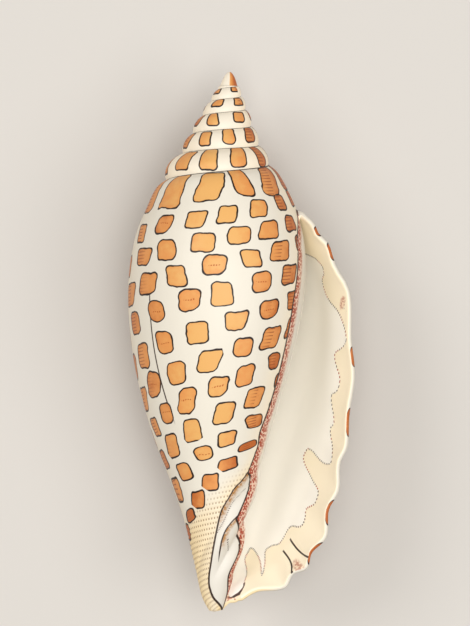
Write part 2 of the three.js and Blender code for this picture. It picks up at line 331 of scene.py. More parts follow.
# Columns of a turn, closer together by the lip, and rows of the last turn from the suture to the canal tip
LIP_STRETCH = 1.2 * FLARE_TURNS
turn_columns = np.concatenate([
    np.linspace(0, LIP_STRETCH, LIP_COLUMNS, endpoint=False),
    np.linspace(LIP_STRETCH, 1, PLAIN_COLUMNS + 1),
])
spire_rows = np.linspace(0, PREVIOUS_SUTURE, SPIRE_ROWS + 1)
body_rows = np.concatenate([
    spire_rows[:-1],
    np.linspace(PREVIOUS_SUTURE, INNER_SUTURE, EDGE_ROWS, endpoint=False),
    np.linspace(INNER_SUTURE, NECK_START, BODY_ROWS, endpoint=False),
    np.linspace(NECK_START, INNER_TIP, NECK_ROWS, endpoint=False),
    np.linspace(INNER_TIP, CANAL_TIP, EDGE_ROWS + 1),
])
mouth_rows = body_rows[(body_rows >= INNER_SUTURE) & (body_rows <= INNER_TIP)]


def back_at(column):
    return column // TURN_COLUMNS + turn_columns[column % TURN_COLUMNS]


def hollow_sway(back):
    return 1 - smoothstep(back, 0, HOLLOW_TURNS)


def outer_wall(back, station):
    return placed(back, station, outside(back, station))


def inner_wall(back, station):
    return placed(back, station, lining(back, station), hollow_sway(back))


def on_picture(points):
    """Where points in the shell's own frame show in the picture, in pixels."""
    x, y, z = np.moveaxis(points - np.array(CENTRE), -1, 0)
    across = x * cos(AXIS_TILT) + y * sin(AXIS_TILT)
    down = x * sin(AXIS_TILT) - y * cos(AXIS_TILT)
    px_per_mm = SHELL_PX / LENGTH / (1 - z * MM / CAMERA_DISTANCE)
    return np.stack([across * px_per_mm, down * px_per_mm], axis=-1) + np.array(PICTURE_PX) / 2


def pictured(wall, backs):
    """Places on a wall between two backs, and the pixels of the picture where they show."""
    back, station = np.meshgrid(
        np.linspace(*backs, SEARCH_COLUMNS), np.linspace(0, CANAL_TIP, SEARCH_ROWS)
    )
    places = np.stack([back.ravel(), station.ravel()], axis=-1)
    return places, on_picture(wall(places[:, 0], places[:, 1]))


def seen_at(pixels, places, shown):
    """The places that show nearest to pixels of the picture."""
    return np.array([places[np.linalg.norm(shown - pixel, axis=-1).argmin()] for pixel in pixels])


front = pictured(outer_wall, FRONT_BACKS)
MOUTH_LINE = seen_at(MOUTH_LINE_PX, *front)
CALLUS_EDGE = seen_at(CALLUS_EDGE_PX, *front)
FOLD_VALLEY = seen_at(FOLD_VALLEY_PX, *front)
FOLD_LINES = [seen_at(line, *front) for line in FOLD_LINES_PX]
lip_inside = pictured(inner_wall, LIP_BACKS)
LIP_BORDER = seen_at(LIP_BORDER_PX, *lip_inside)
LIP_DIMPLE = seen_at(LIP_DIMPLE_PX, *lip_inside)


def smooth_line(points, pieces=4):
    """A line's points with more of them between, on a smooth curve."""
    return along(points, np.linspace(0, len(points) - 1, pieces * (len(points) - 1) + 1))


def from_line(line, back, station, girth, pitch):
    """Distance from a line in millimetres, and roughly how far along the line its nearest point is."""
    nearest, reached = np.full(back.shape, FAR), np.zeros(back.shape)
    run = 0.0
    for start, end in zip(line, line[1:]):
        x, y = (start[0] - back) * girth, (start[1] - station) * pitch
        run_x, run_y = (end[0] - start[0]) * girth, (end[1] - start[1]) * pitch
        share = np.clip(-(x * run_x + y * run_y) / (run_x**2 + run_y**2), 0, 1)
        away = np.hypot(x + share * run_x, y + share * run_y)
        length = np.hypot((end[0] - start[0]) * TYPICAL_GIRTH, (end[1] - start[1]) * TYPICAL_PITCH)
        reached = np.where(away < nearest, run + share * length, reached)
        nearest = np.minimum(away, nearest)
        run += length
    return nearest, reached


def enclosed(line, back, station):
    """Whether places are inside a line that closes on itself."""
    inside = np.zeros(back.shape, bool)
    for start, end in zip(line, np.roll(line, -1, axis=0)):
        crosses = (start[1] > station) != (end[1] > station)
        rise = end[1] - start[1]
        at = start[0] + (station - start[1]) * (end[0] - start[0]) / (rise if rise else 1)
        inside ^= crosses & (back < at)
    return inside


def spacing(profile, back, station):
    """Millimetres in a turn and in a station, at places on a profile."""
    ahead, behind = np.minimum(station + SLOPE_STEP, CANAL_TIP), np.maximum(station - SLOPE_STEP, 0)
    rise = profile(back, ahead) - profile(back, behind)
    girth = 2 * pi * profile(back, station)[..., 1]
    return girth, np.maximum(np.linalg.norm(rise, axis=-1) / (2 * SLOPE_STEP), LEAST_PITCH)


def from_suture(profile, back, station):
    """Millimetres along a profile from the suture down to a place."""
    stops = [profile(back, station * step / SUTURE_PIECES) for step in range(SUTURE_PIECES + 1)]
    return sum(np.linalg.norm(end - start, axis=-1) for start, end in zip(stops, stops[1:]))


def collar_spots(profile, back, station):
    """How far below the middle of the spots under the suture a place is, and half those spots' height."""
    below = from_suture(profile, back, station)
    whole = from_suture(profile, back, np.full(back.shape, float(PREVIOUS_SUTURE)))
    body = COLLAR_HEIGHT * suture(back)[..., 1] / COLLAR_RADIUS
    half = np.where(back < 1, body, np.minimum(body, COLLAR_SHARE * whole)) / 2
    return below - COLLAR_GAP - half, half


# Maps laid on the shell for its finish, each of two numbers
MAPS = {
    "growth": "back, station",
    "scale": "millimetres in a turn and in a station",
    "collar": "distance below the middle of the spots under the suture, and half their height",
    "mouth": "distance past the mouth's line, and past the edge of its glaze",
    "marks": "distance past the valley between the folds, and depth",
    "dotted": "distance past a dotted line, and the run along it",
}


def sheet(bm, columns, rows, surface):
    """A grid laid on the shell. surface gives the points and the maps for columns and rows."""
    before = len(bm.faces)
    verts = bmesh.ops.create_grid(bm, x_segments=columns, y_segments=rows, size=0.5)["verts"]
    corners = np.array([vert.co for vert in verts])
    column = np.rint((corners[:, 0] + 0.5) * columns).astype(int)
    row = np.rint((corners[:, 1] + 0.5) * rows).astype(int)
    points, filled = surface(column, row)
    bm.verts.index_update()
    first = verts[0].index
    for vert, point in zip(verts, points):
        vert.co = point
    bm.faces.ensure_lookup_table()
    layers = [
        (bm.loops.layers.uv[name], np.stack(np.broadcast_arrays(*filled[name]), axis=-1)) for name in MAPS
    ]
    for face in bm.faces[before:]:
        for loop in face.loops:
            at = loop.vert.index - first
            for layer, values in layers:
                loop[layer].uv = values[at]


def maps(back, station, depth, **known):
    """All maps for places on the shell, with those that are not given left empty."""
    filled = {
        "growth": (back, station),
        "scale": (TYPICAL_GIRTH, TYPICAL_PITCH),
        "collar": (FAR, 1.0),
        "mouth": (-FAR, -FAR),
        "marks": (FAR, depth),
        "dotted": (-FAR, 0.0),
    }
    filled.update(known)
    return {name: tuple(value + 0 * back for value in pair) for name, pair in filled.items()}


def mouth_maps(back, station, girth, pitch):
    """The maps for lines round the mouth, on the last turn and on the columella."""
    signed = []
    for line in (MOUTH_LINE, CALLUS_EDGE):
        away = from_line(smooth_line(line), back, station, girth, pitch)[0]
        past = back > np.interp(station, line[:, 1], line[:, 0], left=NEVER, right=NEVER)
        signed.append(np.where(past, away, -away))
    valley = from_line(smooth_line(FOLD_VALLEY), back, station, girth, pitch)[0]
    below = station > np.interp(back, FOLD_VALLEY[::-1, 0], FOLD_VALLEY[::-1, 1], left=CANAL_TIP)
    dots = [from_line(smooth_line(line), back, station, girth, pitch) for line in FOLD_LINES]
    nearer = dots[0][0] < dots[1][0]
    away, run = (np.where(nearer, first, second) for first, second in zip(*dots))
    return {"mouth": signed, "valley": np.where(below, valley, -valley), "dotted": (-away, run)}


def lip_maps(back, station, girth, pitch):
    """The maps for lines on the inside of the lip."""
    border = smooth_line(LIP_BORDER)
    away, run = from_line(border, back, station, girth, pitch)
    outer, deep, above = -0.01, 0.2, -1.0  # beyond the lip's edge, the border and the suture
    closing = [(outer, border[-1][1]), (outer, above), (deep, above), (deep, border[0][1])]
    cream = enclosed(np.concatenate([border, closing]), back, station) | (station > border[-1][1])
    dimple, dimple_run = from_line(smooth_line(LIP_DIMPLE), back, station, girth, pitch)
    nearer = dimple < away
    signed = np.where(cream, 1, -1) * np.where(nearer, dimple, away)
    return signed, np.where(nearer, dimple_run, run)


def last_turn(column, row):
    back, station = back_at(column), body_rows[row]
    section = outside(back, station)
    scale = spacing(outside, back, station)
    lines = mouth_maps(back, station, *scale)
    return placed(back, station, section), maps(
        back, station, section[..., 0], scale=scale, collar=collar_spots(outside, back, station),
        mouth=lines["mouth"], marks=(lines["valley"], section[..., 0]), dotted=lines["dotted"],
    )


def spire_turns(column, row):
    back, station = 1 + back_at(column), spire_rows[row]
    section = spire(back, station)
    return placed(back, station, section), maps(
        back, station, section[..., 0], scale=spacing(spire, back, station),
        collar=collar_spots(spire, back, station),
    )


def apex_dome(column, row):
    back, out = back_at(column), row / DOME_ROWS
    section = np.stack([SPIRE_SUTURE[-1][0] * out**2, SPIRE_SUTURE[-1][1] * out], axis=-1)
    return placed(back, 0 * back, section), maps(back + SPIRE_TURNS, out - 1, section[..., 0])


def canal_tip(column, row):
    back = back_at(column)
    edge = outside(back, np.full(back.shape, float(CANAL_TIP)))
    section = lerp(edge, np.array((LENGTH, 0.0)), row[:, None])
    lines = mouth_maps(back, CANAL_TIP + 0 * back, 2 * pi * edge[..., 1], TYPICAL_PITCH)
    return placed(back, CANAL_TIP, section), maps(
        back, CANAL_TIP + 0 * back, section[..., 0], mouth=lines["mouth"],
    )


def lip_edge(column, row):
    """The lip's edge, from its inner to its outer side. Its two ends lie on the turn before it."""
    out, station = column / EDGE_ROWS, body_rows[row]
    top, bottom = row == 0, row == len(body_rows) - 1
    none = np.zeros(out.shape)
    nose = -LIP_NOSE * np.sin(pi * out)
    section = lerp(lining(none, station), outside(none, station), out[:, None])
    ends = np.where(top, lerp(INNER_SUTURE, PREVIOUS_SUTURE, out), lerp(INNER_TIP, CANAL_TIP, out))
    section = np.where((top | bottom)[:, None], outside(none + 1, ends), section)
    points = placed(np.where(top | bottom, 0, nose), np.where(top | bottom, ends, station), section)
    return points, maps(
        2 * RIM_TURNS * (out - 0.5), station, section[..., 0],
        scale=spacing(outside, none, station), dotted=(1.0, 0.0),
    )


def hollow_lining(column, row):
    back, station = HOLLOW_TURNS * (1 - column / HOLLOW_COLUMNS) ** HOLLOW_CROWDING, body_rows[row]
    section = lining(back, station)
    scale = spacing(lining, back, station)
    return placed(back, station, section, hollow_sway(back)), maps(
        -back, station, section[..., 0],
        scale=scale, mouth=(FAR, FAR), dotted=lip_maps(back, station, *scale),
    )


def hollow_columella(column, row):
    back, station = HOLLOW_TURNS * (column / HOLLOW_COLUMNS) ** HOLLOW_CROWDING, mouth_rows[row]
    section = columella(back, station)
    scale = spacing(columella, back, station)
    lines = mouth_maps(1 + back, station, *scale)
    return placed(back, station, section, hollow_sway(back)), maps(
        1 + back, station, section[..., 0], scale=scale, mouth=lines["mouth"],
    )


def laid(points):
    """The shell turned as it rests, its back on a small flat at height 0, in metres at the solid's place."""
    rest = Matrix.Rotation(REST_ROLL, 3, "Y") @ Matrix.Rotation(REST_PITCH, 3, "X")
    turned = points @ np.array(rest).T
    floor = turned[:, 2].min() + REST_FLAT
    turned[:, 2] = np.maximum(turned[:, 2], floor)
    low, high = (np.array(corner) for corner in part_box("shell"))
    middle = (turned.min(axis=0) + turned.max(axis=0)) / 2
    shift = (low + high) / 2 - middle * MM
    shift[2] = low[2] - floor * MM
    return turned * MM + shift, Matrix.Translation(Vector(shift)) @ rest.to_4x4()


def make_shell():
    bm = bmesh.new()
    for name in MAPS:
        bm.loops.layers.uv.new(name)
    rows, mouth = len(body_rows) - 1, len(mouth_rows) - 1
    sheet(bm, TURN_COLUMNS, rows, last_turn)
    sheet(bm, TURN_COLUMNS * SPIRE_TURNS, SPIRE_ROWS, spire_turns)
    sheet(bm, TURN_COLUMNS, DOME_ROWS, apex_dome)
    sheet(bm, TURN_COLUMNS, 1, canal_tip)
    sheet(bm, EDGE_ROWS, rows, lip_edge)
    sheet(bm, HOLLOW_COLUMNS, rows, hollow_lining)
    sheet(bm, HOLLOW_COLUMNS, mouth, hollow_columella)
    bmesh.ops.remove_doubles(bm, verts=bm.verts, dist=MERGE_DISTANCE)
    bmesh.ops.dissolve_degenerate(bm, dist=SLIVER, edges=bm.edges)
    bmesh.ops.holes_fill(bm, edges=[edge for edge in bm.edges if edge.is_boundary], sides=0)
    bmesh.ops.recalc_face_normals(bm, faces=bm.faces)
    points, place = laid(np.array([vert.co for vert in bm.verts]))
    for vert, point in zip(bm.verts, points):
        vert.co = point
    for face in bm.faces:
        face.smooth = True
    mesh = bpy.data.meshes.new("spotted_shell")
    bm.to_mesh(mesh)
    bm.free()
    piece = bpy.data.objects.new("spotted_shell", mesh)
    bpy.context.collection.objects.link(piece)
    return piece, place


class Value:
    """A socket of a material's nodes, written as a number in sums."""

    def __init__(self, finish, socket):
        self.finish = finish
        self.socket = socket

    def math(self, operation, *others):
        return self.finish.node("ShaderNodeMath", {"operation": operation}, self, *others)

    def output(self, index):
        """Another output of the same node."""
        return Value(self.finish, self.socket.node.outputs[index])

    def __add__(self, other):
        return self.math("ADD", other)

    def __radd__(self, other):
        return self.math("ADD", other)

    def __mul__(self, other):
        return self.math("MULTIPLY", other)

    def __rmul__(self, other):
        return self.math("MULTIPLY", other)

    def __sub__(self, other):
        return self.math("SUBTRACT", other)

    def __rsub__(self, other):
        return self.finish.node("ShaderNodeMath", {"operation": "SUBTRACT"}, other, self)

    def __truediv__(self, other):
        return self.math("DIVIDE", other)

    def __rtruediv__(self, other):
        return self.finish.node("ShaderNodeMath", {"operation": "DIVIDE"}, other, self)

    def __pow__(self, other):
        return self.math("POWER", other)

    def __abs__(self):
        return self.math("ABSOLUTE")

    def __gt__(self, other):
        return self.math("GREATER_THAN", other)

    def __lt__(self, other):
        return self.math("LESS_THAN", other)

    def floor(self):
        return self.math("FLOOR")

    def fraction(self):
        return self.math("FRACT")

    def least(self, other):
        return self.math("MINIMUM", other)

    def most(self, other):
        return self.math("MAXIMUM", other)

    def ramp(self, low, high):
        """0 at low, 1 at high, and smooth between."""
        settings = {"interpolation_type": "SMOOTHSTEP"}
        if low > high:
            return self.finish.node("ShaderNodeMapRange", settings, self, high, low, 1.0, 0.0)
        return self.finish.node("ShaderNodeMapRange", settings, self, low, high, 0.0, 1.0)


class Finish:
    """One material and its nodes."""

    def __init__(self, name):
        self.material = bpy.data.materials.new(name)
        self.material.use_nodes = True
        self.tree = self.material.node_tree
        self.shader = self.tree.nodes["Principled BSDF"]

    def node(self, kind, settings, *values, out=0, **named):
        """Adds a node: its settings first, then its sockets in order or by name."""
        made = self.tree.nodes.new(kind)
        for name, setting in settings.items():
            setattr(made, name, setting)
        for socket, value in zip(made.inputs, values):
            self.set(socket, value)
        for name, value in named.items():
            self.set(made.inputs[name], value)
        return Value(self, made.outputs[out])

    def set(self, socket, value):
        if isinstance(value, Value):
            self.tree.links.new(value.socket, socket)
        else:
            socket.default_value = value

    def mix(self, first, second, share):
        """The first colour where share is 0, the second where it is 1."""
        made = self.tree.nodes.new("ShaderNodeMix")
        made.data_type = "RGBA"
        for socket in made.inputs:
            if socket.identifier == "Factor_Float":
                self.set(socket, share)
            if socket.identifier == "A_Color":
                self.set(socket, first)
            if socket.identifier == "B_Color":
                self.set(socket, second)
        return Value(self, next(socket for socket in made.outputs if socket.identifier == "Result_Color"))

    def map(self, name):
        """The two numbers of one of the piece's maps."""
        across = self.node("ShaderNodeSeparateXYZ", {}, self.node("ShaderNodeUVMap", {"uv_map": name}))
        return across, across.output(1)

    def vector(self, x, y, z=0.0):
        return self.node("ShaderNodeCombineXYZ", {}, x, y, z)

    def noise(self, vector, scale, detail=2.0):
        return self.node("ShaderNodeTexNoise", {}, Vector=vector, Scale=scale, Detail=detail)

    def random(self, first, second):
        """Three numbers from 0 to 1 that belong to a pair of numbers."""
        pair = self.vector(first, second)
        made = self.node("ShaderNodeTexWhiteNoise", {"noise_dimensions": "2D"}, pair, out=1)
        red = self.node("ShaderNodeSeparateColor", {}, made)
        return red, red.output(1), red.output(2)


def colour(red, green, blue):
    """A colour given as it shows on a screen, from 0 to 255."""
    return (*Color((red / 255, green / 255, blue / 255)).from_srgb_to_scene_linear(), 1.0)


# Colours of the shell
GROUND = colour(227, 219, 203)
# Painted shade: the ground is warmer towards the sides
GROUND_SHADED_SIDE = colour(241, 226, 200)
SPIRE_GROUND = colour(247, 231, 205)
SPOT_LIGHT = colour(226, 170, 98)
SPOT_MID = colour(221, 147, 79)
SPOT_DARK = colour(184, 96, 36)
RIM = colour(34, 16, 8)
# Dark hatching strokes: painted shade at the sides
HATCH_SHADE = colour(138, 58, 24)
NECK = colour(243, 216, 164)
# Painted shade: dots in the valleys between the neck's cords
NECK_SHADE_DOT = colour(150, 116, 84)
# One white glaze in two tones, as painted light and shade: brighter inside the mouth to lift the hollow's
# shade, darker on the glazed folds and callus outside, where the top light falls
GLAZE_PAINTED_BRIGHTER = colour(255, 250, 239)
FOLD_GLAZE_PAINTED_DARKER = colour(222, 215, 202)
LIP_CREAM = colour(255, 241, 212)
# Red stipple that paints shade; the same red also colours the dots of the lip's dotted border inside
STIPPLE_SHADE_AND_DOTS = colour(168, 66, 40)
STIPPLE_SHADE_WASH = colour(230, 174, 140)
# Brown painted shadow where the folds' upper ends go in under the mouth's line
FOLD_SHADOW_PAINT = colour(172, 120, 60)
# Dark lines: outlines, and painted shade in the sutures, the fold valley and the creases
LINE = colour(52, 31, 21)
BORDER_DOT = colour(104, 90, 86)

# The pattern of spots: rows are numbered from 1 to 10, and level 1.5 is where row 1 meets row 2
ROW_SLOPE = 0.75  # stations that a row climbs in a turn
LOW_SLOPE = 1.55  # more for the lowest rows
LOW_STATIONS = (6.9, 7.9)  # over which that begins
ROW_BACK = 0.72  # where the stations of the rows are given
ROW_STATIONS = 0.52
FIRST_ROW_END = 3.11
FIRST_ROW_STATIONS = 0.66
NINTH_ROW_START = 6.75
NINTH_ROW_STATIONS = 0.7
LAST_ROW_STATIONS = 1.0
LAST_ROW = 10.0
ROW_COUNT = 14.5  # spots in a turn
LOWER_LOSS = 2.5  # fewer from row 8 on
LAST_GAIN = 2.0
UPPER_START, UPPER_SHIFT = 0.681, 0.023  # back of a spot in row 0, and how much further on each row has one
LOWER_START, LOWER_SHIFT = 0.676, 0.015
FIRST_SPOT = 0.05  # turns back from the lip
BODY_SPOT_END = 1.25

# Spots, as shares of their cell
HALF_WIDTH = 0.31
FIRST_NARROWER = 0.04
LOW_WIDER = 0.06
LAST_WIDER = 0.15
HALF_HEIGHT = 0.355
LOW_SHORTER = 0.055
LAST_SHORTER = 0.145
UPRIGHT = 0.75  # how far the spots are turned upright out of their slanting rows
SPOT_TILT = 0.13
TILT_START = 3.0  # station
TILT_GAIN = 0.025
SPOT_SHIFT = 0.16
SPOT_LEAN = 0.5
SPOT_LIFT = 0.25
SPOT_TAPER = 0.3
SPOT_WIDTHS = (0.82, 1.16)
SPOT_HEIGHTS = (0.85, 1.11)
SPOT_CORNERS = (0.35, 0.8)
SPOT_WOBBLE = 0.6
WOBBLE_SCALE = 330.0
BLOTCH_SCALE = 700.0
BLOTCH_DETAIL = 5.0

# The tall spots under the suture and on the spire
COLLAR_COUNT = 11.5
COLLAR_START = 0.729
COLLAR_END = 5.9
COLLAR_TILT = 0.1
COLLAR_ROW = 20.0  # a row number of their own
SPIRE_LOSS = 1.7  # fewer spots in each turn of the spire
SPIRE_NARROWER = 0.06

# Spots that the lip cuts through, as station and half length
LIP_SPOTS = ((1.6, 0.16), (2.22, 0.2), (3.95, 0.13), (4.72, 0.16), (5.95, 0.2), (6.72, 0.24))
LIP_SPOT_TURNS = 0.022
LIP_SPOT_SCALE = 0.2
RIM_REACH = 1.2  # in halves of the lip's edge

# Tones of the spots, with painted shade: lighter on the front and darker towards the sides
FRONT = 0.775  # back of the middle of the front
FRONT_BEFORE = 0.34  # turns from there to either side
FRONT_AFTER = 0.19
SIDE_SHADE_TONE = 0.95
LAST_ROW_TONE = 0.5
LIP_TONE = 0.4
OWN_TONE = 0.3
BLOTCH_TONE = 0.55
EDGE_TONE = 0.12
MID_TONES = (0.05, 0.45)
DARK_TONES = (0.4, 0.95)
HATCH_PITCH = 0.62
HATCH_END = 0.35
HATCH_STRENGTH = 0.7
VEIN_WAVE = 1.5
VEIN_DASH = 0.5
VEINED = 0.72  # spots with a higher random number have a vein

# Marks, in millimetres: where a line begins and where it is full, counted from its middle
LINE_EDGES = (0.24, 0.12)
RIM_EDGES = (0.19, 0.11)
SUTURE_EDGES = (0.42, 0.26)
SCAR_EDGES = (0.2, 0.1)
VALLEY_EDGES = (0.22, 0.1)
DOT_EDGES = (0.2, 0.1)
DOT_PITCH = 0.58
DOT_GAP = (0.45, 0.55)
NECK_STATIONS = (7.95, 8.6)
NECK_DOTS = 62.0  # dots in a turn
NECK_DOT_STRENGTH = 0.8
SCAR_BACK = 0.621
SCAR_BEND = 0.0067
SCAR_BEND_START = 3.92
VALLEY_FIRST, VALLEY_LAST = 0.79, 0.9  # backs
CANAL_STATIONS = (8.95, 9.05)
CANAL_BACK = -0.04
APEX_PATCH = (0.77, 0.79)  # share of a turn
GRAIN_SCALE = 2200.0
DIMPLE_BACK = -0.009
DIMPLE_STATION = 3.1
DIMPLE_WIDTH = 1.2
DIMPLE_HEIGHT = 1.3
GROWTH_LINES = 260.0  # waves in a turn


def read_maps(f):
    """The maps at a place on the shell, its grain, and which surface it is on."""
    at = SimpleNamespace()
    at.back, at.station = f.map("growth")
    at.girth, at.pitch = f.map("scale")
    at.below, at.collar_half = f.map("collar")
    at.past_mouth, at.past_glaze = f.map("mouth")
    at.valley, at.depth = f.map("marks")
    at.cream_side, at.dot_run = f.map("dotted")
    at.place = f.node("ShaderNodeTexCoord", {}, out=3)
    at.wobble = f.noise(at.place, WOBBLE_SCALE) - 0.5
    at.blotch = f.noise(at.place, BLOTCH_SCALE, BLOTCH_DETAIL) - 0.5
    at.up = (at.back - 1.0).most(0.0)
    at.inside = at.back < 0.0
    at.rim = abs(at.back) < RIM_REACH * RIM_TURNS
    at.apex = at.station < 0.0
    at.columella_wall = (at.back > 1.0) * (at.station > 3.15)
    at.on_spire = (at.back > 1.0) * (at.station < 3.1)
    at.glazed = at.inside.most(at.columella_wall).most(at.past_mouth > 0.0).most(at.past_glaze > 0.0)
    at.turn_share = at.back.fraction()
    # How far a place is from the middle of the front towards the sides, halved towards the back: it sets
    # where painted shade darkens the spots and warms the ground
    from_front = ((FRONT - at.turn_share) / FRONT_BEFORE).most((at.turn_share - FRONT) / FRONT_AFTER)
    at.side = from_front.least(1.0) * (1 - 0.5 * at.turn_share.ramp(0.5, 0.3))
    return at


def row_of_spots(f, at, row, across, down, cell_width, half_width, half_height, tilt):
    """A row's rounded spots. "across" counts them along the row, and "down" is the distance below it."""
    cell = (across - tilt / (1 + tilt * tilt) * down / cell_width + 0.5).floor()
    first, second, third = f.random(cell, row)
    x = (across - cell + (first - 0.5) * SPOT_SHIFT) * cell_width + (third - 0.5) * SPOT_LEAN * down
    y = down - UPRIGHT * tilt * x + (second - 0.5) * SPOT_LIFT * half_height
    taper = 1 + SPOT_TAPER * (first - 0.5) * y / half_height
    wide = half_width * cell_width * lerp(*SPOT_WIDTHS, third) * taper
    tall = half_height * lerp(*SPOT_HEIGHTS, first)
    smaller = wide.least(tall)
    corner = smaller * lerp(*SPOT_CORNERS, second)
    over_x = (abs(x) - wide + corner).most(0.0)
    over_y = (abs(y) - tall + corner).most(0.0)
    edge = (over_x * over_x + over_y * over_y) ** 0.5 - corner + at.wobble * SPOT_WOBBLE * smaller
    return SimpleNamespace(edge=edge, x=x, y=y, cell=cell, own=second)


def body_spots(f, at):
    """Rows that wind round the last turn, the first one and the last two taller than the others."""
    slope = ROW_SLOPE + LOW_SLOPE * at.station.ramp(*LOW_STATIONS)
    lift = at.station + slope * (at.back - ROW_BACK)
    level = (lift - FIRST_ROW_END) / ROW_STATIONS + 1.5
    level = level.most((lift - FIRST_ROW_END) / FIRST_ROW_STATIONS + 1.5)
    level = level.least((lift - NINTH_ROW_START) / NINTH_ROW_STATIONS + 8.5)
    level = level.least((lift - NINTH_ROW_START - NINTH_ROW_STATIONS) / LAST_ROW_STATIONS + 9.5)
    row = (level + 0.5).floor().least(LAST_ROW)
    first, lower, low, last = row < 1.5, row > 7.5, row > 8.5, row > 9.5
    count = ROW_COUNT - LOWER_LOSS * lower + LAST_GAIN * last
    upper_start, lower_start = UPPER_START + UPPER_SHIFT * row, LOWER_START + LOWER_SHIFT * row
    start = upper_start * (1 - lower) + lower_start * lower
    stations = ROW_STATIONS + (FIRST_ROW_STATIONS - ROW_STATIONS) * first
    stations = stations + (NINTH_ROW_STATIONS - ROW_STATIONS) * low
    stations = stations + (LAST_ROW_STATIONS - NINTH_ROW_STATIONS) * last
    height = stations * at.pitch
    spots = row_of_spots(
        f, at, row,
        across=(at.back - start) * count,
        down=(level - row) * height,
        cell_width=at.girth / count,
        half_width=HALF_WIDTH - FIRST_NARROWER * first + LOW_WIDER * low + LAST_WIDER * last,
        half_height=height * (HALF_HEIGHT - LOW_SHORTER * low - LAST_SHORTER * last),
        tilt=slope * at.pitch / at.girth + SPOT_TILT + TILT_GAIN * (at.station - TILT_START).most(0.0) ** 2,
    )
    by_lip = start + spots.cell / count < FIRST_SPOT
    behind_lip = (at.back > 1.0) * (row > 1.5)
    unused = by_lip.most(row < 0.5).most(behind_lip).most(at.back > BODY_SPOT_END)
    spots.edge = spots.edge + FAR * unused
    spots.last_row = last
    return spots


def suture_spots(f, at):
    """The row under the suture, which goes on up the spire."""
    spots = row_of_spots(
        f, at, COLLAR_ROW + at.up.floor(),
        across=(at.back - COLLAR_START) * COLLAR_COUNT - SPIRE_LOSS / 2 * at.up * at.up,
        down=at.below,
        cell_width=at.girth / (COLLAR_COUNT - SPIRE_LOSS * at.up),
        half_width=HALF_WIDTH - SPIRE_NARROWER * at.up.least(1.0),
        half_height=at.collar_half,
        tilt=COLLAR_TILT,
    )
    by_lip = COLLAR_START + spots.cell / COLLAR_COUNT < FIRST_SPOT
    spots.edge = spots.edge + FAR * by_lip.most(at.back > COLLAR_END)
    return spots


def lip_spot_edge(at):
    """Distance from the edge of the spots that show on the outer part of the lip's edge."""
    from_spot = FAR
    for station, half in LIP_SPOTS:
        from_spot = (abs(at.station - station) / half).least(from_spot)
    out = ((RIM_TURNS - at.back) / (RIM_REACH * RIM_TURNS)).most(0.0) + (at.back / LIP_SPOT_TURNS).most(0.0)
    return ((from_spot * from_spot + out * out) ** 0.5 - 1) * at.pitch * LIP_SPOT_SCALE


def nearest_spot(f, at):
    """Distance from the nearest spot's edge, the place in that spot, and a random number of its own."""
    body, collar = body_spots(f, at), suture_spots(f, at)
    on_body = body.edge < collar.edge
    edge = body.edge.least(collar.edge).least(lip_spot_edge(at))
    own, x, y = (
        of_body * on_body + of_collar * (1 - on_body)
        for of_body, of_collar in ((body.own, collar.own), (body.x, collar.x), (body.y, collar.y))
    )
    return SimpleNamespace(edge=edge, x=x, y=y, own=own, on_body=on_body, last_row=body.last_row)


def spot_paint(f, at, spot):
    """Orange, darker towards the sides as painted shade, with short strokes at the sides of the shell as
    painted shade hatching, and a broken vein in some spots.
    """
    # Painted shade: the spots grow darker towards the sides
    tone = at.side * SIDE_SHADE_TONE + LAST_ROW_TONE * spot.last_row * spot.on_body
    tone = tone + LIP_TONE * (at.back < LIP_SPOT_TURNS) + (spot.own - 0.5) * OWN_TONE
    tone = tone + at.blotch * BLOTCH_TONE + spot.edge.ramp(-1.0, 0.0) * EDGE_TONE
    paint = f.mix(SPOT_LIGHT, SPOT_MID, tone.ramp(*MID_TONES))
    paint = f.mix(paint, SPOT_DARK, tone.ramp(*DARK_TONES))
    # Painted shade: dark hatching strokes in the spots, at the sides only
    stroke = (spot.y / HATCH_PITCH + spot.own).fraction().ramp(0.62, 0.75)
    stroke = stroke * at.side.ramp(0.45, 0.6) * (spot.x < HATCH_END)
    paint = f.mix(paint, HATCH_SHADE, stroke * HATCH_STRENGTH)
    vein = abs(spot.y + at.wobble * VEIN_WAVE).ramp(0.16, 0.06) * abs(spot.x).ramp(1.3, 0.9)
    vein = vein * (spot.own > VEINED) * spot.on_body
    return f.mix(paint, SPOT_DARK, vein * (spot.x / VEIN_DASH).fraction().ramp(0.3, 0.5))


def outside_ground(f, at):
    """Off-white, warmer at the sides as painted shade and warmer on the spire, and a yellow neck, yellower
    at the sides as painted shade, with dark dots in the valleys between its cords as painted shade.
    """
    # Painted shade: the ground warms towards the sides, on the spire as well, and the neck grows yellower
    # there
    ground = f.mix(GROUND, GROUND_SHADED_SIDE, at.side.ramp(0.45, 1.0))
    ground = f.mix(ground, SPIRE_GROUND, at.on_spire * (0.35 + 0.65 * at.side.ramp(0.1, 0.7)))
    neck = at.station.ramp(*NECK_STATIONS)
    ground = f.mix(ground, NECK, neck * (0.4 + 0.9 * at.side).least(1.0))
    # Painted shade: dark dots in the valleys between the cords
    cord = (at.depth - CORD_SLANT * (2 * pi * (1 - at.back) + LIP_AZIMUTH)) / CORD_PITCH
    in_cord_valley = abs(cord.fraction() - 0.5).ramp(0.26, 0.14)
    dots = in_cord_valley * (at.back * NECK_DOTS + cord.floor() * 0.5).fraction().ramp(0.5, 0.6)
    return f.mix(ground, NECK_SHADE_DOT, dots * neck * NECK_DOT_STRENGTH)


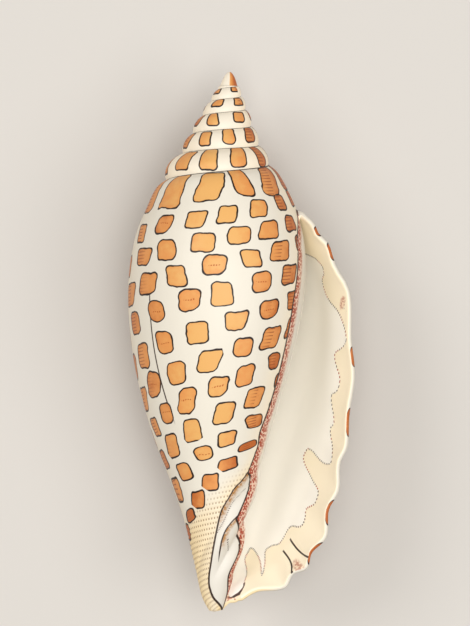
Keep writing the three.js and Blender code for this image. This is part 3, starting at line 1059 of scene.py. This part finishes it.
def shade_stippled_places(at):
    """Where red stipple paints shade: beside the mouth's line, on the canal's rim, between the creases and
    in the lip's dimple.
    """
    beside = at.past_mouth.ramp(0.0, 0.1) * at.past_mouth.ramp(2.9, 1.3) * (1 - at.inside)
    canal_rim = at.inside * at.station.ramp(9.2, 9.5) * at.station.ramp(10.4, 10.1)
    canal_rim = canal_rim * (at.back > -0.02) * at.cream_side.ramp(0.0, 0.1)
    lobe = at.inside * at.station.ramp(7.0, 7.2) * at.station.ramp(7.36, 7.3) * at.back.ramp(-0.022, -0.012)
    dimple_x = (at.back - DIMPLE_BACK) * at.girth / DIMPLE_WIDTH
    dimple_y = (at.station - DIMPLE_STATION) * at.pitch / DIMPLE_HEIGHT
    dimple = (dimple_x * dimple_x + dimple_y * dimple_y).ramp(1.0, 0.3) * at.inside
    return beside.most(canal_rim * 0.7).most(lobe * 0.6).most(dimple * 0.6)


def mouth_glaze(f, at):
    """White, brighter inside the mouth as painted light, with the lip's cream, red stipple as painted shade,
    and brown painted shadow at the upper ends of the folds.
    """
    # Painted light and shade: brighter glaze inside the hollow and on the columella wall, darker on the
    # outer folds and callus
    glaze = f.mix(FOLD_GLAZE_PAINTED_DARKER, GLAZE_PAINTED_BRIGHTER, at.inside.most(at.columella_wall))
    glaze = f.mix(glaze, LIP_CREAM, at.cream_side.ramp(-0.1, 0.1) * at.inside.most(at.rim))
    grain = f.node("ShaderNodeTexVoronoi", {}, Vector=at.place, Scale=GRAIN_SCALE)
    # Painted shade: red stipple over a pale red wash
    stipple_shade = shade_stippled_places(at)
    glaze = f.mix(glaze, STIPPLE_SHADE_WASH, stipple_shade * 0.6)
    glaze = f.mix(glaze, STIPPLE_SHADE_AND_DOTS, grain.ramp(0.62, 0.48) * stipple_shade)
    # Painted shadow: brown at the upper ends of the folds and at the top of the valley between them
    fold_top = at.past_glaze.ramp(2.0, 0.4) * at.station.ramp(8.15, 8.25) * at.station.ramp(9.0, 8.6)
    valley_top = at.valley.ramp(1.6, 0.3) * (at.valley > 0.0) * at.station.ramp(9.4, 9.1)
    valley_top = valley_top * (at.back > VALLEY_FIRST) * (at.back < VALLEY_LAST)
    folds = fold_top.most(valley_top * (1 - at.inside))
    folds = folds * at.past_mouth.ramp(0.1, 0.0) * at.past_glaze.ramp(0.0, 0.1)
    return f.mix(glaze, FOLD_SHADOW_PAINT, folds * (0.55 + 0.45 * grain.ramp(0.65, 0.45)))


def dark_lines(at, spot):
    """Dark lines: in the sutures, the valley between the folds and the lip's creases they are painted shade
    in those grooves; at the growth scar, the mouth and the canal they are outlines.
    """
    outer = 1 - at.inside
    # Painted shade: a dark line in the suture's groove
    suture_line = (at.station * at.pitch * (1 + 0.35 * at.up)).ramp(*SUTURE_EDGES) * outer * (1 - at.apex)
    scar_back = SCAR_BACK + SCAR_BEND * (at.station - SCAR_BEND_START).most(0.0) ** 2
    scar = (abs(at.back - scar_back) * at.girth).ramp(*SCAR_EDGES)
    scar = scar * at.station.ramp(4.1, 4.2) * at.station.ramp(6.3, 6.1) * (spot.edge > 0.0)
    mouth_line = (abs(at.past_mouth) * (0.75 + 0.25 * at.station.ramp(7.0, 7.8))).ramp(*LINE_EDGES) * outer
    glaze_line = abs(at.past_glaze).ramp(*LINE_EDGES) * (at.past_mouth < 0.1) * outer
    # Painted shade: a dark line in the valley between the folds
    valley_line = abs(at.valley).ramp(*VALLEY_EDGES) * (at.back > VALLEY_FIRST) * (at.back < VALLEY_LAST)
    valley_line = valley_line * at.station.ramp(9.6, 9.4)
    # Painted shade: dark lines in the creases inside the lip
    creased = FAR
    for station, slope, curve in CREASES:
        creased = abs(at.station - station + slope * at.back - curve * at.back * at.back).least(creased)
    crease_line = (creased * at.pitch).ramp(*LINE_EDGES) * at.inside
    crease_line = crease_line * at.back.ramp(-CREASE_TURNS, -CREASE_TURNS + 0.004)
    canal_line = abs(at.cream_side).ramp(*LINE_EDGES) * at.inside
    canal_line = canal_line * at.station.ramp(*CANAL_STATIONS) * (at.back > CANAL_BACK)
    lines = suture_line.most(scar).most(mouth_line).most(glaze_line).most(valley_line)
    return lines.most(crease_line).most(canal_line)


def shell_finish():
    f = Finish("spotted_shell")
    at = read_maps(f)
    spot = nearest_spot(f, at)
    paint = spot_paint(f, at, spot)
    surface = f.mix(outside_ground(f, at), paint, spot.edge.ramp(0.05, -0.05))
    surface = f.mix(surface, RIM, abs(spot.edge).ramp(*RIM_EDGES))
    surface = f.mix(surface, paint, at.apex * at.turn_share.ramp(*APEX_PATCH))
    surface = f.mix(surface, mouth_glaze(f, at), at.glazed)
    surface = f.mix(surface, LINE, dark_lines(at, spot))
    dashes = (at.dot_run / DOT_PITCH).fraction().ramp(*DOT_GAP)
    dots = abs(at.cream_side).ramp(*DOT_EDGES) * dashes * (1 - at.rim)
    dot_colour = f.mix(BORDER_DOT, STIPPLE_SHADE_AND_DOTS, at.wobble.ramp(-0.02, 0.06) * at.inside)
    f.set(f.shader.inputs["Base Color"], f.mix(surface, dot_colour, dots))
    f.set(f.shader.inputs["Roughness"], 0.5 + 0.12 * at.blotch - 0.08 * at.glazed)
    growth_lines = f.noise(f.vector(at.back * GROWTH_LINES, at.station * 2.0), 1.0, 3.0) * (1 - at.glazed)
    bump = f.node("ShaderNodeBump", {}, Strength=0.25, Distance=0.0001, Height=growth_lines)
    f.set(f.shader.inputs["Normal"], bump)
    f.shader.inputs["Specular IOR Level"].default_value = 0.35
    f.shader.inputs["Coat Weight"].default_value = 0.06
    f.shader.inputs["Coat Roughness"].default_value = 0.2
    return f.material


# The shell
shell, shell_place = make_shell()
shell.data.materials.append(shell_finish())
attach(shell, "root")
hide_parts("shell")

# Floor
FLOOR_SIZE = 6.0
FLOOR_COLOUR = colour(206, 201, 194)
FLOOR_ROUGHNESS = 0.9


def make_floor():
    bm = bmesh.new()
    bmesh.ops.create_grid(bm, x_segments=2, y_segments=2, size=FLOOR_SIZE / 2)
    mesh = bpy.data.meshes.new("floor")
    bm.to_mesh(mesh)
    bm.free()
    floor = bpy.data.objects.new("floor", mesh)
    bpy.context.collection.objects.link(floor)
    finish = Finish("pale_floor")
    finish.shader.inputs["Base Color"].default_value = FLOOR_COLOUR
    finish.shader.inputs["Roughness"].default_value = FLOOR_ROUGHNESS
    mesh.materials.append(finish.material)


make_floor()


# Soft studio light
LIGHT_TARGET = (0.0, 0.0, 0.015)
SKY_COLOUR = (1.0, 0.985, 0.96, 1.0)
SKY_STRENGTH = 0.36


def soft_light(name, position, size, power):
    light = bpy.data.lights.new(name, "AREA")
    light.shape = "DISK"
    light.size = size
    light.energy = power
    lamp = bpy.data.objects.new(name, light)
    lamp.location = position
    lamp.rotation_euler = (Vector(LIGHT_TARGET) - Vector(position)).to_track_quat("-Z", "Y").to_euler()
    bpy.context.collection.objects.link(lamp)


soft_light("key_light", (-0.65, 0.25, 0.8), 0.5, 3.2)
soft_light("fill_light", (0.6, -0.1, 0.85), 0.6, 2.75)
soft_light("top_light", (0.05, 0.0, 1.5), 0.9, 12.0)
world = bpy.data.worlds.new("studio")
world.use_nodes = True
world.node_tree.nodes["Background"].inputs["Color"].default_value = SKY_COLOUR
world.node_tree.nodes["Background"].inputs["Strength"].default_value = SKY_STRENGTH
bpy.context.scene.world = world
bpy.context.scene.view_settings.view_transform = "Standard"

# Camera: it looks straight into the mouth, with the shell's length up the picture
SENSOR_HEIGHT = 24.0
picture_height = LENGTH * MM * PICTURE_PX[1] / SHELL_PX
camera = bpy.data.cameras.new("camera")
camera.sensor_fit = "VERTICAL"
camera.sensor_height = SENSOR_HEIGHT
camera.lens = SENSOR_HEIGHT * CAMERA_DISTANCE / picture_height
camera_object = bpy.data.objects.new("camera", camera)
look = Matrix.Translation(Vector(CENTRE) * MM) @ Matrix.Rotation(AXIS_TILT, 4, "Z")
camera_object.matrix_world = shell_place @ look @ Matrix.Translation((0, 0, CAMERA_DISTANCE))
bpy.context.collection.objects.link(camera_object)
bpy.context.scene.camera = camera_object
